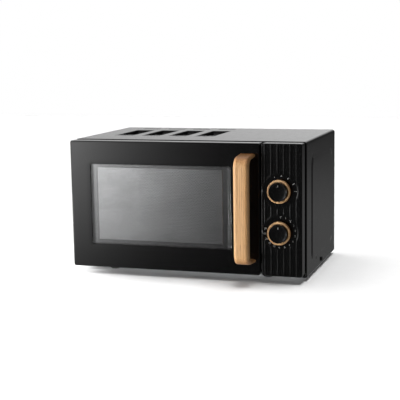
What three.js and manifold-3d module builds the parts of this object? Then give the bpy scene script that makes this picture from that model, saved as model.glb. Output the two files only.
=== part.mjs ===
// A compact manual microwave oven, in millimetres.
// Oven frame, used by every function below: x runs right from the door's left edge, y runs back from
// the door's front face, z runs up from the door's bottom edge. The outer group moves that frame so
// that the origin is under the middle of the oven, on the surface that it stands on.
import * as THREE from "three";
import { ConvexGeometry } from "three/addons/geometries/ConvexGeometry.js";
import { mergeVertices } from "three/addons/utils/BufferGeometryUtils.js";
import Module from "manifold-3d";

const wasm = await Module();
wasm.setup();

// Overall sizes
const WIDTH = 452;
const FRONT_HEIGHT = 243.5;
const FRONT_DEPTH = 28;
const CORNER = 4;
const GAP = 0.3;

// Case
const OVERLAP = 2.1; // how far the case stands out past the front on each side
const CASE = { left: -OVERLAP, right: WIDTH + OVERLAP, front: 30, back: 300, bottom: -6.5, top: 244.5 };
const SHEET = 1;
const FOLD = 6;
const FLANGE = 11;
const FOOT_BOTTOM = -13.5;
const SPACER_BACK = 312;
const POCKET = { count: 4, first: 49, pitch: 55.4, width: 37.5, near: 101, ramp: 150, far: 232 };
const POCKET_DEPTH = { ramp: 1.8, floor: 7 };
const GROOVE = { near: 262, far: 272, depth: 1.5 };
const FIELD = { near: 73, far: 261, low: 19, high: 211, wall: 1.6, height: 1.5 };
const DIMPLES = [[83, 215.5], [114, 14.5]];
const CASE_SCREW = { y: 163, z: 2.2, hole: 2.3 };

// Door
const DOOR_WIDTH = 373.5;
const SKIN = 3;
const WALL = 2.4;
const WINDOW = { left: 41, right: 319, low: 45, high: 200 };
const HINGE = { x: 10, y: 16, clear: 12.8, pin: 3 };
const HANDLE = { left: 336.5, right: 365.5, low: 24, high: 224.5, reach: 50, bar: 14.5 };
const LATCH = { x: 356, low: 62, high: 186, lift: 4 };

// Control panel and dials
const PANEL_LEFT = 376.5;
const RIB = { first: 383.5, pitch: 11.75, count: 5, half: 4.6, depth: 1.8, strip: 440.5 };
const DIAL_X = 411;
const POWER_Z = 157.8;
const TIMER_Z = 81.8;
const DIAL_PAD = 33;
const DIAL = { ring: 21.6, bore: 17.5, skirt: 19.4, face: 17.2 };

// Oven cavity and turntable
const CAVITY = { left: 25, right: 335, front: 29.6, back: 290.5, floor: 19.5, ceiling: 224.5, sheet: 1 };
const TURN = { x: 180, y: 161, recess: 127, tray: 122.5, roller: 8, track: 101 };

// Component bay to the right of the cavity
const BAY = { left: 336.3, right: 449, floor: -3.9 };
const FAN = { x: 395, z: 150, blade: 44, ring: 46 };

const ORIGIN = [-(CASE.left + CASE.right) / 2, -(SPACER_BACK - HANDLE.reach) / 2, -FOOT_BOTTOM];

// Solids
function solidOf(geometry) {
  const bare = geometry.clone();
  bare.deleteAttribute("normal");
  bare.deleteAttribute("uv");
  const merged = mergeVertices(bare, 1e-4);
  const vertProperties = new Float32Array(merged.getAttribute("position").array);
  const triVerts = new Uint32Array(merged.index.array);
  return new wasm.Manifold(new wasm.Mesh({ numProp: 3, vertProperties, triVerts }));
}

function geometryOf(solid) {
  const mesh = solid.getMesh();
  const geometry = new THREE.BufferGeometry();
  geometry.setAttribute("position", new THREE.BufferAttribute(mesh.vertProperties, 3));
  geometry.setIndex(new THREE.BufferAttribute(mesh.triVerts, 1));
  const faceted = geometry.toNonIndexed();
  faceted.computeVertexNormals();
  return faceted;
}

const join = (...solids) => solids.reduce((all, next) => all.add(next));
const cut = (solid, ...tools) => tools.reduce((left, tool) => left.subtract(tool), solid);
const repeat = (count, make) => Array.from({ length: count }, (_, i) => make(i));

function box(low, high) {
  const [w, d, h] = high.map((v, i) => v - low[i]);
  const [x, y, z] = high.map((v, i) => (v + low[i]) / 2);
  return solidOf(new THREE.BoxGeometry(w, d, h).translate(x, y, z));
}

// A rod along one axis, from one end to the other, through the other two coordinates
function rodX(x0, x1, y, z, radius, sides = 24) {
  const rod = new THREE.CylinderGeometry(radius, radius, x1 - x0, sides);
  return solidOf(rod.rotateZ(-Math.PI / 2).translate((x0 + x1) / 2, y, z));
}

function rodY(y0, y1, x, z, radius, sides = 24) {
  const rod = new THREE.CylinderGeometry(radius, radius, y1 - y0, sides);
  return solidOf(rod.translate(x, (y0 + y1) / 2, z));
}

function rodZ(z0, z1, x, y, radius, sides = 24) {
  const rod = new THREE.CylinderGeometry(radius, radius, z1 - z0, sides);
  return solidOf(rod.rotateX(Math.PI / 2).translate(x, y, (z0 + z1) / 2));
}

// Outlines drawn in x and z, y and z, or x and y, and pushed along the third axis
function prismY(shape, y0, y1, curveSegments = 6) {
  const plate = new THREE.ExtrudeGeometry(shape, { depth: y1 - y0, bevelEnabled: false, curveSegments });
  return solidOf(plate.rotateX(Math.PI / 2).translate(0, y1, 0));
}

function alongX(geometry, x0) {
  const turn = new THREE.Matrix4().makeBasis(
    new THREE.Vector3(0, 1, 0),
    new THREE.Vector3(0, 0, 1),
    new THREE.Vector3(1, 0, 0),
  );
  return geometry.applyMatrix4(turn).translate(x0, 0, 0);
}

function prismX(shape, x0, x1, curveSegments = 6) {
  const bar = new THREE.ExtrudeGeometry(shape, { depth: x1 - x0, bevelEnabled: false, curveSegments });
  return solidOf(alongX(bar, x0));
}

function prismZ(shape, z0, z1, curveSegments = 6) {
  const column = new THREE.ExtrudeGeometry(shape, { depth: z1 - z0, bevelEnabled: false, curveSegments });
  return solidOf(column.translate(0, 0, z0));
}

const outline = (points) => new THREE.Shape(points.map(([a, b]) => new THREE.Vector2(a, b)));

function roundedRect(left, low, right, high, radius) {
  const shape = new THREE.Shape();
  shape.moveTo(left + radius, low);
  shape.lineTo(right - radius, low);
  shape.absarc(right - radius, low + radius, radius, -Math.PI / 2, 0);
  shape.lineTo(right, high - radius);
  shape.absarc(right - radius, high - radius, radius, 0, Math.PI / 2);
  shape.lineTo(left + radius, high);
  shape.absarc(left + radius, high - radius, radius, Math.PI / 2, Math.PI);
  shape.lineTo(left, low + radius);
  shape.absarc(left + radius, low + radius, radius, Math.PI, 1.5 * Math.PI);
  return shape;
}

// A turned solid standing on z = 0, from [radius, height] points that close on the axis or on themselves
function turned(points, sides = 32) {
  const profile = points.map(([r, h]) => new THREE.Vector2(r, h));
  return new THREE.LatheGeometry(profile, sides).rotateX(Math.PI / 2);
}

// Materials
const finish = (color, roughness, metalness = 0) =>
  new THREE.MeshStandardMaterial({ color, roughness, metalness });
const blackPaint = () => finish(0x0c0c0d, 0.28, 0.1);
const blackGloss = () => finish(0x080808, 0.12);
const blackPlastic = () => finish(0x0b0b0b, 0.4);
const greyPlastic = () => finish(0x8c8c88, 0.5);
const whitePlastic = () => finish(0xe6e4dc, 0.5);
const oak = () => finish(0xc99a63, 0.55);
const zinc = () => finish(0xb4b6b8, 0.35, 0.9);
const enamel = () => finish(0x9a9c9c, 0.35, 0.3);
const copper = () => finish(0xb4622d, 0.35, 0.9);
const clear = (opacity) =>
  new THREE.MeshStandardMaterial({ color: 0x20242a, roughness: 0.05, transparent: true, opacity });

function piece(name, solid, material, at = [0, 0, 0]) {
  const mesh = new THREE.Mesh(geometryOf(solid), material);
  mesh.name = name;
  mesh.position.set(...at);
  return mesh;
}

// Case
// One pressed pocket: a gentle ramp at the near end, a flat floor and a steep far wall
function pocketProfile(top, above, grow) {
  const { near, ramp, far } = POCKET;
  const depth = POCKET_DEPTH.floor;
  return outline([
    [near - grow, top + above],
    [near - grow, top],
    [ramp - grow, top - POCKET_DEPTH.ramp],
    [ramp + 4 - grow, top - depth],
    [far - 5 + grow, top - depth],
    [far + grow, top],
    [far + grow, top + above],
  ]);
}

function grooveProfile(top, above, grow) {
  const { near, far, depth } = GROOVE;
  return outline([
    [near - grow, top + above],
    [near - grow, top],
    [near + 3 - grow, top - depth],
    [far - 3 + grow, top - depth],
    [far + grow, top],
    [far + grow, top + above],
  ]);
}

// The pressed field of a side: a low pyramid with its point cut off, standing out from x by rise
function sideField(x, rise, inset) {
  const { near, far, low, high, wall } = FIELD;
  const ring = (at, inside) =>
    [[near, low], [far, low], [far, high], [near, high]].map(([y, z]) => {
      const inY = y === near ? inside : -inside;
      const inZ = z === low ? inside : -inside;
      return new THREE.Vector3(at, y + inY, z + inZ);
    });
  return solidOf(new ConvexGeometry([...ring(x, inset), ...ring(x + rise, inset + wall)]));
}

function outerCase() {
  const { left, right, front, back, bottom, top } = CASE;
  const section = new THREE.Shape();
  section.moveTo(left, bottom);
  section.lineTo(left + SHEET, bottom);
  section.lineTo(left + SHEET, top - FOLD);
  section.absarc(left + FOLD, top - FOLD, FOLD - SHEET, Math.PI, Math.PI / 2, true);
  section.lineTo(right - FOLD, top - SHEET);
  section.absarc(right - FOLD, top - FOLD, FOLD - SHEET, Math.PI / 2, 0, true);
  section.lineTo(right - SHEET, bottom);
  section.lineTo(right, bottom);
  section.lineTo(right, top - FOLD);
  section.absarc(right - FOLD, top - FOLD, FOLD, 0, Math.PI / 2);
  section.lineTo(left + FOLD, top);
  section.absarc(left + FOLD, top - FOLD, FOLD, Math.PI / 2, Math.PI);
  let shell = prismY(section, front, back);
  shell = join(
    shell,
    box([left, front, bottom], [left + FLANGE, back, bottom + SHEET]),
    box([right - FLANGE, front, bottom], [right, back, bottom + SHEET]),
  );
  const pressed = repeat(POCKET.count, (i) => {
    const x = POCKET.first + i * POCKET.pitch;
    return [x, x + POCKET.width];
  });
  for (const [x0, x1] of pressed) {
    shell = join(shell, prismX(pocketProfile(top - SHEET, 0.5, SHEET), x0 - SHEET, x1 + SHEET));
    shell = join(shell, prismX(grooveProfile(top - SHEET, 0.5, SHEET), x0 - SHEET, x1 + SHEET));
  }
  const { height } = FIELD;
  const bite = 0.2;
  shell = join(shell, sideField(right - bite, height + bite, 0), sideField(left + bite, -height - bite, 0));
  for (const [x0, x1] of pressed) {
    shell = cut(shell, prismX(pocketProfile(top, 1, 0), x0, x1));
    shell = cut(shell, prismX(grooveProfile(top, 1, 0), x0, x1));
  }
  const hollow = 0.4;
  shell = cut(shell, sideField(right - SHEET - bite, height + bite, hollow));
  shell = cut(shell, sideField(left + SHEET + bite, -height - bite, hollow));
  for (const [y, z] of DIMPLES) shell = cut(shell, rodX(right - 0.6, right + 1, y, z, 2.6, 12));
  const { y, z, hole } = CASE_SCREW;
  shell = cut(shell, rodX(left - 1, left + 2, y, z, hole, 12), rodX(right - 2, right + 1, y, z, hole, 12));
  return piece("outer_case", shell, blackPaint());
}

// A cross-head screw through the case and the base plate's upturned edge, drawn for the right side
function caseScrew(name, x, turn) {
  const head = rodX(GAP, 2.2, 0, 0, 4.4, 16);
  const cross = join(box([1.3, -3, -0.5], [3, 3, 0.5]), box([1.3, -0.5, -3], [3, 0.5, 3]));
  const screw = join(cut(head, cross), rodX(-6, GAP, 0, 0, 1.9, 12));
  const mesh = piece(name, screw, blackPaint(), [x, CASE_SCREW.y, CASE_SCREW.z]);
  mesh.rotation.z = turn;
  return mesh;
}

function rearPanel() {
  const { left, right, bottom, top } = CASE;
  const low = bottom + 1.4;
  const inset = SHEET + 0.4;
  const outlineXZ = roundedRect(left + inset, low, right - inset, top - inset, FOLD - inset - 0.2);
  const [front, back] = [298, 299];
  let panel = prismY(outlineXZ, front, back);
  for (const x of [110, 300]) {
    const spacer = new THREE.CylinderGeometry(11, 15, SPACER_BACK - back, 20);
    panel = join(panel, solidOf(spacer.translate(x, (SPACER_BACK + back) / 2, 205)));
  }
  const slots = [];
  for (let row = 0; row < 8; row += 1) {
    slots.push(box([366, 297, 112 + row * 9], [424, 300, 116 + row * 9]));
    slots.push(box([36, 297, 40 + row * 9], [86, 300, 44 + row * 9]));
  }
  slots.push(rodY(297, 300, GLAND.x, GLAND.z, 7.4));
  return piece("rear_panel", cut(panel, ...slots), zinc());
}

const GLAND = { x: 424, z: 26 };

function cordGland() {
  const inner = [[3.6, -5], [8.6, -5], [8.6, -1.4], [7, -1.4]];
  const outer = [[7, GAP], [11, GAP], [11, 3], [6.5, 12], [3.6, 12], [3.6, -5]];
  const profile = [...inner, ...outer];
  const gland = new THREE.LatheGeometry(profile.map(([r, h]) => new THREE.Vector2(r, h)), 20);
  return piece("cord_gland", solidOf(gland), blackPlastic(), [GLAND.x, 299, GLAND.z]);
}

const FEET = { left: 63.5, right: 374.5, front: 58, rear: 268 };

function basePlate() {
  const low = CASE.bottom + 1.3;
  const [left, right, front, back] = [CASE.left + 1.6, CASE.right - 1.6, 31.2, 297.4];
  let plate = box([left, front, low], [right, back, low + 1]);
  const holes = [];
  for (const x of [FEET.left, FEET.right]) {
    for (const y of [FEET.front, FEET.rear]) holes.push(rodZ(low - 1, low + 2, x, y, 4, 12));
  }
  for (let i = 0; i < 8; i += 1) holes.push(box([350 + i * 11, 72, low - 1], [355 + i * 11, 108, low + 2]));
  const edges = [left, right - 1].map((x) => box([x, front, low], [x + 1, back, low + 12]));
  plate = join(plate, ...edges);
  const { y, z, hole } = CASE_SCREW;
  for (const x of [left - 1, right - 2]) holes.push(rodX(x, x + 4, y, z, hole, 12));
  return piece("base_plate", cut(plate, ...holes), zinc());
}

function foot(name, x, y) {
  const top = CASE.bottom + 1.3 - FOOT_BOTTOM - GAP;
  const profile = [[0, 0], [8.4, 0], [9.2, 1.2], [10, top], [3.6, top], [3.6, top + 5], [0, top + 5]];
  return piece(name, solidOf(turned(profile, 16)), finish(0x141414, 0.7), [x, y, FOOT_BOTTOM]);
}

function caseGroup() {
  const group = new THREE.Group();
  group.add(outerCase(), rearPanel(), cordGland(), basePlate());
  group.add(caseScrew("case_screw_left", CASE.left, Math.PI), caseScrew("case_screw_right", CASE.right, 0));
  group.add(foot("foot_front_left", FEET.left, FEET.front), foot("foot_front_right", FEET.right, FEET.front));
  group.add(foot("foot_rear_left", FEET.left, FEET.rear), foot("foot_rear_right", FEET.right, FEET.rear));
  return group;
}

// Cavity
function cavityLiner() {
  const { left, right, front, back, floor, ceiling, sheet } = CAVITY;
  const flange = prismY(roundedRect(6, -3, 374.5, 241, 2), front, front + sheet);
  const walls = box(
    [left - sheet, front + sheet / 2, floor - sheet],
    [right + sheet, back + sheet, ceiling + sheet],
  );
  const recess = rodZ(floor - 4, floor, TURN.x, TURN.y, TURN.recess + sheet, 32);
  const inside = box([left, front - 1, floor], [right, back, ceiling]);
  const track = rodZ(floor - 3, floor + 1, TURN.x, TURN.y, TURN.recess, 32);
  const shaftHole = rodZ(floor - 5, floor, TURN.x, TURN.y, 7, 16);
  const port = box([right - 1, 152, 98], [right + 2, 228, 142]);
  const lampHoles = repeat(9, (i) =>
    rodX(right - 1, right + 2, 84 + 8 * (i % 3), 192 + 8 * Math.floor(i / 3), 2, 6),
  );
  const hookSlots = [LATCH.low, LATCH.high].map((z) => box([350.3, 28, z - 8], [361.7, 32, z + 18]));
  const hingeSlots = [box([5, 28, 228.4], [16, 32, 232.1]), box([5, 28, 11.4], [16, 32, 15.1])];
  const liner = cut(join(flange, walls, recess), inside, track, shaftHole, port, ...lampHoles);
  return piece("cavity_liner", cut(liner, ...hookSlots, ...hingeSlots), enamel());
}

function turntableGroup() {
  const group = new THREE.Group();
  const floor = CAVITY.floor - 3;
  group.position.set(TURN.x, TURN.y, floor);
  const axle = TURN.roller + 0.2;

  const motor = join(rodZ(-20.4, -1.4, 0, 0, 24, 32), box([-6, 22, -16], [6, 34, -6]));
  group.add(piece("turntable_motor", motor, zinc()));
  const shaft = cut(rodZ(-1, 14.2, 0, 0, 3.2, 16), box([2.2, -5, 4], [5, 5, 16]));
  group.add(piece("turntable_shaft", shaft, finish(0xf0efe8, 0.5)));

  const lobes = repeat(3, (i) =>
    solidOf(new THREE.BoxGeometry(17, 7, 6.6).translate(8.5, 0, 12.9).rotateZ((i * 2 * Math.PI) / 3)),
  );
  const coupler = cut(join(rodZ(1, 16.2, 0, 0, 9), ...lobes), rodZ(0, 14.6, 0, 0, 3.6, 16));
  group.add(piece("drive_coupler", coupler, finish(0xded9cc, 0.55)));

  const ringProfile = [[84, axle - 2], [90, axle - 2], [90, axle + 2], [84, axle + 2], [84, axle - 2]];
  const axles = repeat(3, (i) =>
    solidOf(
      new THREE.CylinderGeometry(1.6, 1.6, 20, 6)
        .rotateZ(-Math.PI / 2)
        .translate(97, 0, axle)
        .rotateZ((i * 2 * Math.PI) / 3),
    ),
  );
  const stops = repeat(3, (i) =>
    solidOf(
      new THREE.CylinderGeometry(3.4, 3.4, 1.6, 8)
        .rotateZ(-Math.PI / 2)
        .translate(107, 0, axle)
        .rotateZ((i * 2 * Math.PI) / 3),
    ),
  );
  const ring = join(solidOf(turned(ringProfile, 36)), ...axles, ...stops);
  group.add(piece("roller_ring", ring, finish(0xd8d4c8, 0.55)));

  const wheel = cut(rodX(-4, 4, 0, 0, TURN.roller, 16), rodX(-5, 5, 0, 0, 1.9, 8));
  for (let i = 0; i < 3; i += 1) {
    const turn = (i * 2 * Math.PI) / 3;
    const at = [TURN.track * Math.cos(turn), TURN.track * Math.sin(turn), axle];
    const roller = piece(`roller_${i + 1}`, wheel, finish(0xe8e4d8, 0.5), at);
    roller.rotation.z = turn;
    group.add(roller);
  }

  const under = [[0, 16.5], [104, 16.5], [114, 19.5], [TURN.tray, 29.5]];
  const upper = [[TURN.tray, 31], [120, 31], [112, 22.4], [103, 20.6], [0, 20.6]];
  const lugs = repeat(3, (i) =>
    solidOf(new THREE.BoxGeometry(6, 8, 6).translate(15, 0, 14).rotateZ(((i + 0.5) * 2 * Math.PI) / 3)),
  );
  const tray = join(solidOf(turned([...under, ...upper], 40)), ...lugs);
  group.add(piece("glass_turntable", tray, clear(0.35)));
  return group;
}

// Door
const latchSlot = (z, y0, y1) => box([351, y0, z - 7], [361, y1, z + 17]);
const HINGE_NOTCHES = [[8.9, 17], [226.5, 234.6]];
const hingeNotches = (x1, y0, y1) => HINGE_NOTCHES.map(([z0, z1]) => box([-1, y0, z0], [x1, y1, z1]));

// The back corner by the hinge is rounded about the pin, so that it clears the case as the door turns
function hingeCorner() {
  const corner = box([-1, HINGE.y, -1], [HINGE.x, 30, FRONT_HEIGHT + 1]);
  return cut(corner, rodZ(-2, FRONT_HEIGHT + 2, HINGE.x, HINGE.y, HINGE.clear, 32));
}

function doorFrame() {
  const depth = FRONT_DEPTH - 0.5;
  const { left, right, low, high } = WINDOW;
  const block = prismY(roundedRect(0, 0, DOOR_WIDTH, FRONT_HEIGHT, CORNER), 0, depth);
  const hollow = box([WALL, SKIN, WALL], [DOOR_WIDTH - WALL, depth + 1, FRONT_HEIGHT - WALL]);
  const opening = box([left, -1, low], [right, depth + 1, high]);
  const shell = cut(block, hollow, opening, hingeCorner(), ...hingeNotches(5, SKIN + 1, depth + 1));
  const bosses = [];
  const holes = [];
  for (const z of HANDLE_SCREWS) {
    bosses.push(rodY(SKIN - 1, 12, HANDLE_X, z, 5.5, 20));
    holes.push(rodY(-1, 13, HANDLE_X, z, 2.7, 12));
  }
  for (const [z0, z1, h0, h1] of [[236, 242, 235, 240.4], [1.5, 7.5, 3.1, 8]]) {
    bosses.push(rodZ(z0, z1, HINGE.x, HINGE.y, 5.6, 20));
    bosses.push(box([1, HINGE.y - 2, z0], [HINGE.x, HINGE.y + 2, z1]));
    holes.push(rodZ(h0, h1, HINGE.x, HINGE.y, HINGE.pin + 0.3, 16));
  }
  return piece("door_frame", cut(join(shell, ...bosses), ...holes), blackGloss());
}

function doorScreen() {
  const [x0, z0, x1, z1] = [15.5, 8, 344, 235.5];
  const plate = box([x0, 8, z0], [x1, 9, z1]);
  const ringWall = (inset, y1) =>
    cut(
      box([x0 + inset, 8, z0 + inset], [x1 - inset, y1, z1 - inset]),
      box([x0 + inset + 1, 7, z0 + inset + 1], [x1 - inset - 1, y1 + 1, z1 - inset - 1]),
    );
  const pan = join(plate, ringWall(0, 26), ringWall(22, 22.5));
  return piece("door_screen", cut(pan, ...hingeNotches(27, 7, 28)), blackPaint());
}

function chokeCover() {
  const y0 = 26.6;
  const cover = cut(
    prismY(roundedRect(5.6, 3, 370.6, 240.5, 3), y0, FRONT_DEPTH),
    box([38, y0 - 1, 34], [320, 29, 210]),
    ...hingeNotches(27, 20, 30),
    latchSlot(LATCH.low, 20, 30),
    latchSlot(LATCH.high, 20, 30),
    hingeCorner(),
  );
  return piece("choke_cover", cover, blackPlastic());
}

const HANDLE_X = (HANDLE.left + HANDLE.right) / 2;
const HANDLE_SCREWS = [HANDLE.low + 5, HANDLE.high - 5];

function doorHandle() {
  const { left, right, low, high, reach, bar } = HANDLE;
  const bow = new THREE.Shape();
  bow.moveTo(-GAP, low);
  bow.lineTo(-reach + 20, low + 3);
  bow.quadraticCurveTo(-reach, low + 5, -reach, low + 24);
  bow.lineTo(-reach, high - 24);
  bow.quadraticCurveTo(-reach, high - 5, -reach + 20, high - 3);
  bow.lineTo(-GAP, high);
  bow.lineTo(-GAP, high - 10);
  bow.lineTo(-reach + bar + 12, high - 12);
  bow.quadraticCurveTo(-reach + bar, high - 13, -reach + bar, high - 25);
  bow.lineTo(-reach + bar, low + 25);
  bow.quadraticCurveTo(-reach + bar, low + 13, -reach + bar + 12, low + 12);
  bow.lineTo(-GAP, low + 10);
  const edge = 4;
  const bevel = { bevelThickness: edge, bevelSize: edge, bevelOffset: -edge, bevelSegments: 3 };
  const bent = new THREE.ExtrudeGeometry(bow, { depth: right - left - 2 * edge, curveSegments: 5, ...bevel });
  const solid = solidOf(alongX(bent, left + edge));
  const holes = HANDLE_SCREWS.map((z) => rodY(-16, 1, HANDLE_X, z, 2.6, 12));
  return piece("door_handle", cut(solid, ...holes), oak());
}

function handleScrew(name, z) {
  const screw = join(rodY(12.3, 15.5, 0, 0, 4.8, 16), rodY(-15.4, 12.4, 0, 0, 2.3, 12));
  return piece(name, cut(screw, box([-3, 14.5, -0.6], [3, 16, 0.6])), zinc(), [HANDLE_X, 0, z]);
}

function latchHook() {
  const { x, low, high } = LATCH;
  const half = 3;
  const parts = [box([x - half, 17, low - 8], [x + half, 23, high + 16])];
  for (const z of [low, high]) {
    parts.push(box([x - half, 22, z], [x + half, 46, z + 8]));
    parts.push(
      solidOf(
        new ConvexGeometry(
          [[40, z], [46, z], [40, z - 4], [43, z - 4]].flatMap(([y, h]) => [
            new THREE.Vector3(x - half, y, h),
            new THREE.Vector3(x + half, y, h),
          ]),
        ),
      ),
    );
  }
  return piece("latch_hook", join(...parts), greyPlastic());
}

function latchSpring() {
  const { x, high } = LATCH;
  const coil = rodZ(high + 16 + GAP, high + 34, x, 20, 3, 12);
  const bore = rodZ(high + 15, high + 35, x, 20, 2.2, 12);
  return piece("latch_spring", cut(coil, bore), zinc());
}

function hingePlate(name, up) {
  const arm = up ? [229, 231.5] : [12, 14.5];
  const pin = up ? [231.4, 240] : [3.5, 12.1];
  const tab = up ? [195, 231.5] : [12, 48];
  const plate = join(
    rodZ(arm[0], arm[1], HINGE.x, HINGE.y, 5, 20),
    box([5.2, HINGE.y, arm[0]], [14.8, 33, arm[1]]),
    box([5.2, 31, tab[0]], [14.8, 33, tab[1]]),
    rodZ(pin[0], pin[1], HINGE.x, HINGE.y, HINGE.pin, 16),
  );
  return piece(name, plate, zinc());
}

function doorGroup() {
  const group = new THREE.Group();
  const { left, right, low, high } = WINDOW;
  const pane = box([left + GAP, 0.4, low + GAP], [right - GAP, 3.6, high - GAP]);
  group.add(doorFrame(), piece("door_window", pane, clear(0.4)), doorScreen(), chokeCover());
  const film = box([35.3, 24, 31.3], [322.7, 24.6, 212.7]);
  group.add(piece("door_inner_film", film, clear(0.25)));
  group.add(doorHandle(), handleScrew("handle_screw_lower", HANDLE_SCREWS[0]));
  group.add(handleScrew("handle_screw_upper", HANDLE_SCREWS[1]), latchHook(), latchSpring());
  return group;
}

// Control panel
function controlPanel() {
  const right = WIDTH;
  const { first, pitch, count, half, depth, strip } = RIB;
  const section = [[PANEL_LEFT, FRONT_DEPTH], [PANEL_LEFT, depth]];
  for (let i = 0; i < count; i += 1) {
    const x = first + i * pitch;
    const rise = [[-half, depth], [-half + 1.2, 0.6], [-half + 2.6, 0]];
    const fall = rise.map(([dx, y]) => [-dx, y]).reverse();
    for (const [dx, y] of [...rise, ...fall]) if (x + dx > PANEL_LEFT) section.push([x + dx, y]);
  }
  section.push([strip, depth], [strip + 0.8, 0.6], [strip + 2.2, 0]);
  section.push([right - 1.6, 0], [right, 1.6], [right, FRONT_DEPTH]);
  const fluted = prismZ(outline(section), 0, FRONT_HEIGHT);
  const pads = [POWER_Z, TIMER_Z].map((z) => rodY(0.2, SKIN, DIAL_X, z, DIAL_PAD, 40));
  const block = prismY(roundedRect(PANEL_LEFT, 0, right, FRONT_HEIGHT, CORNER), 0, FRONT_DEPTH);
  const hollow = box(
    [PANEL_LEFT + WALL, SKIN + 1.2, WALL],
    [right - WALL, FRONT_DEPTH + 1, FRONT_HEIGHT - WALL],
  );
  const shaftHoles = [POWER_Z, TIMER_Z].map((z) => rodY(-1, 9, DIAL_X, z, 3.8, 16));
  const panel = cut(join(fluted, ...pads).intersect(block), hollow, ...shaftHoles);
  return piece("control_panel", panel, blackGloss());
}

// The y axis of a dial points back into the panel, so its profiles are drawn with height out of it
function dialTurned(points, sides) {
  const profile = points.map(([r, h]) => new THREE.Vector2(r, h));
  return new THREE.LatheGeometry(profile, sides).rotateX(Math.PI);
}

function dial(prefix, z) {
  const group = new THREE.Group();
  group.position.set(DIAL_X, 0, z);
  const { ring, bore, skirt, face } = DIAL;
  const wood = [
    [bore, 4.6], [ring - 1.2, 4.6], [ring, 5.8], [ring, 10.8], [ring - 1.6, 12.4],
    [bore + 1.2, 12.4], [bore, 11.2], [bore, 4.6],
  ];
  group.add(piece(`${prefix}_knob_ring`, solidOf(dialTurned(wood, 32)), oak()));
  const dish = [
    [0, 0.6], [skirt, 0.6], [skirt, 4.3], [face, 4.3], [face, 15.6], [face - 1.2, 16.8], [0, 16.8],
  ];
  const socket = rodY(-9.4, 0, 0, 0, 3.3, 16);
  group.add(piece(`${prefix}_knob_cap`, cut(solidOf(dialTurned(dish, 32)), socket), blackGloss()));
  const shaft = cut(rodY(-9.1, 31.6, 0, 0, 3, 16), box([1.8, -10, -4], [4, 2, 4]));
  group.add(piece(`${prefix}_shaft`, shaft, whitePlastic()));
  return group;
}

function timerGroup() {
  const group = new THREE.Group();
  const bores = [POWER_Z, TIMER_Z].map((z) => rodY(11, 32, DIAL_X, z, 3.4, 16));
  const housing = join(
    prismY(roundedRect(384, 52, 438, 188, 5), 14, 50),
    prismY(roundedRect(388, 56, 434, 120, 4), 50, 58),
    box([386, 58, 130], [390, 66, 134]),
    box([386, 49, 130], [390, 60, 134]),
    box([398, 49, 130], [402, 66, 134]),
    box([410, 49, 130], [414, 66, 134]),
  );
  group.add(piece("timer_unit", cut(housing, ...bores), whitePlastic()));
  const bell = [[0, 0], [4, 0], [4, 4], [17, 4], [19, 2], [20.2, 2], [19, 6], [12, 9.4], [0, 10]];
  const dome = new THREE.LatheGeometry(bell.map(([r, h]) => new THREE.Vector2(r, h)), 20);
  group.add(piece("timer_bell", solidOf(dome), zinc(), [DIAL_X, 58 + GAP, 82]));
  return group;
}

// Door interlock, behind the front flange
const LEVER = { y: 54, z: 120 };

function microswitch(name, z) {
  const blades = [2, 11, 20].map((y) => box([4, y + 2, -14], [4.8, y + 6, -7]));
  const button = box([3, 5, 7.9], [7, 9, 9.6]);
  const holes = [5, 23].map((y) => rodX(-1, 12, y, -4, 1.5, 10));
  const body = cut(join(box([0, 0, -8], [10, 28, 8]), ...blades, button), ...holes);
  return piece(name, body, finish(0x222222, 0.5), [369.8, 34, z]);
}

function interlockGroup() {
  const group = new THREE.Group();
  const { low, high } = LATCH;
  const bracket = join(
    box([367, 32, 40], [369.5, 66, 212]),
    box([347, 32, low - 16], [368, 50, low - 10]),
    box([347, 32, high - 16], [368, 50, high - 10]),
    rodX(361, 368, LEVER.y, LEVER.z, 2.8, 16),
  );
  group.add(piece("interlock_bracket", bracket, whitePlastic()));
  const arm = outline([[51, 114], [57, 114], [58, 122], [56, 160], [51, 160], [50, 122]]);
  const lever = cut(prismX(arm, 361.6, 366.4), rodX(361, 367, LEVER.y, LEVER.z, 3.1, 16));
  group.add(piece("interlock_lever", lever, greyPlastic()));
  group.add(microswitch("primary_switch", 66), microswitch("monitor_switch", 124));
  group.add(microswitch("secondary_switch", 192));
  return group;
}

// High-voltage, cooling and mains pieces
function magnetronGroup() {
  const group = new THREE.Group();
  const x = BAY.left;
  const antenna = [212, 178];
  const duct = cut(
    box([x, 146, 92], [x + 24, 254, 214]),
    box([x - 1, 147.2, 93.2], [x + 22.8, 252.8, 212.8]),
    rodX(x + 20, x + 26, ...antenna, 15),
  );
  group.add(piece("waveguide", duct, zinc()));
  const yoke = cut(box([361, 176, 138], [420, 248, 218]), box([364, 175, 141], [417, 249, 215]));
  const fins = repeat(5, (i) => box([371 + 9 * i, 178, 140], [372.2 + 9 * i, 246, 216]));
  const tube = join(rodX(362, 419, ...antenna, 20, 10), rodX(342, 363, ...antenna, 10, 12));
  const filterBox = box([419, 188, 148], [442, 236, 208]);
  group.add(piece("magnetron", join(yoke, ...fins, tube, filterBox), finish(0xa8aaac, 0.4, 0.8)));
  const sheet = box([CAVITY.right - 0.9, 142, 88], [CAVITY.right - GAP, 238, 152]);
  group.add(piece("mica_cover", sheet, finish(0xb8b0a0, 0.7)));
  return group;
}

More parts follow.
